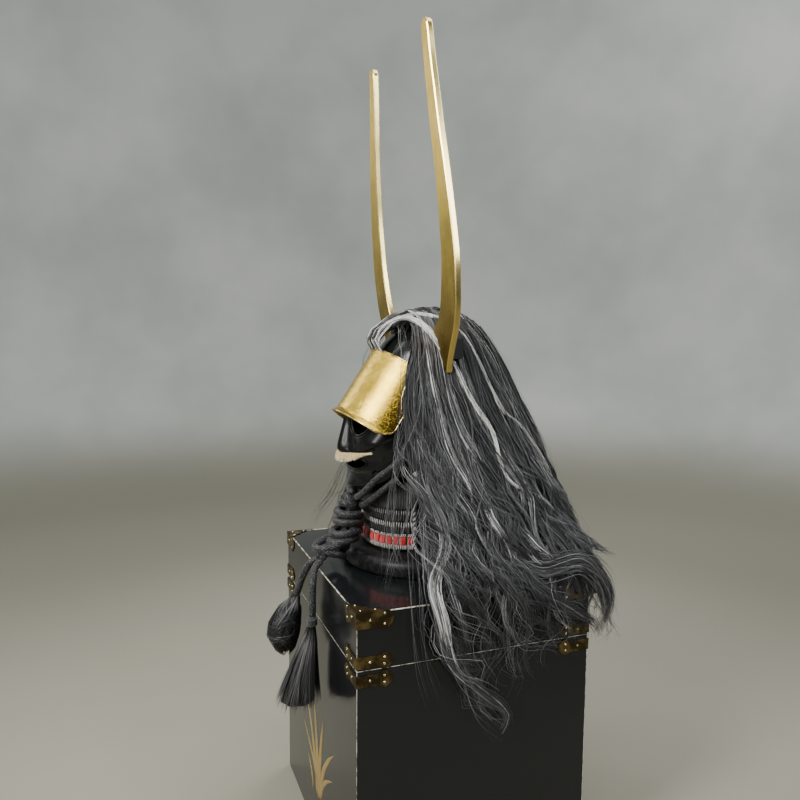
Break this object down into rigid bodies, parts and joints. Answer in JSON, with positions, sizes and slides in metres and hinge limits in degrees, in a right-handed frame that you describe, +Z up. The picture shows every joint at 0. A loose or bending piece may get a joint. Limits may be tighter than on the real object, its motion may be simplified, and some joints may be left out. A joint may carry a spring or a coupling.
{
  "type": "samurai kabuto helmet with face mask and horns, on its lacquered armour box stand",
  "caption": "Horned kabuto helmet with gilt visor, black face mask, laced throat and neck guards and long hair, tied with a braided cord and shown on a post on its lacquered armour box",
  "frame": {"origin": "centre of the underside of the armour box, which is the face the object rests on", "axes": "+Z up; -Y is the way the face looks; +X is the wearer's left"},
  "size_m": [0.4882, 0.5139, 1.336],
  "materials": {
    "black_lacquer": "smooth glossy black lacquer over wood or board, with faint hairline scratches",
    "antique_brass": "aged sheet brass, dark in the hollows and bright along the worn edges",
    "stand_black": "satin black",
    "gilt_visor": "gilt sheet with a fine brushed and pitted face",
    "gilt_horn": "satin gilt plate, brighter on its thin edges",
    "dark_steel": "dark satin steel",
    "mask_lacquer": "high-gloss black lacquer over a formed sheet",
    "pale_bristle": "short pale animal bristle",
    "laced_lame": "black lacquered lames laced with black cord and rows of pale cross knots",
    "red_lacing": "black lame laced in red with pale cross knots and a pale fringe",
    "black_cord": "braided charcoal cord, soft sheen",
    "tassel_black": "long black silk-like strands",
    "grey_hair": "long dark hair with grey and silver streaks"
  },
  "bodies": {
    "root": {"box_body": "black_lacquer", "box_lid": "black_lacquer", "helmet_bowl": "black_lacquer", "lid_cap_front_left": "antique_brass", "lid_cap_back_left": "antique_brass", "lid_cap_front_right": "antique_brass", "lid_cap_back_right": "antique_brass", "lid_strap_front_left": "antique_brass", "lid_strap_back_left": "antique_brass", "lid_strap_front_right": "antique_brass", "lid_strap_back_right": "antique_brass", "body_strap_front_left": "antique_brass", "body_strap_back_left": "antique_brass", "body_strap_front_right": "antique_brass", "body_strap_back_right": "antique_brass", "stand": "stand_black", "visor": "gilt_visor", "horn_left": "gilt_horn", "horn_right": "gilt_horn", "horn_socket_left": "dark_steel", "horn_socket_right": "dark_steel", "face_mask": "mask_lacquer", "moustache": "pale_bristle", "throat_lame_1": "laced_lame", "throat_lame_2": "laced_lame", "throat_lame_3": "laced_lame", "neck_lame_1": "laced_lame", "neck_lame_2": "laced_lame", "neck_lame_3": "laced_lame", "throat_lame_4": "red_lacing", "chin_cord_left": "black_cord", "chin_cord_right": "black_cord", "inner_cord_left": "black_cord", "inner_cord_right": "black_cord", "cord_end_left": "black_cord", "cord_end_right": "black_cord", "cord_knot": "black_cord", "tassel_left": "tassel_black", "tassel_right": "tassel_black", "hair_left": "grey_hair", "hair_right": "grey_hair"}
  },
  "joints": []
}
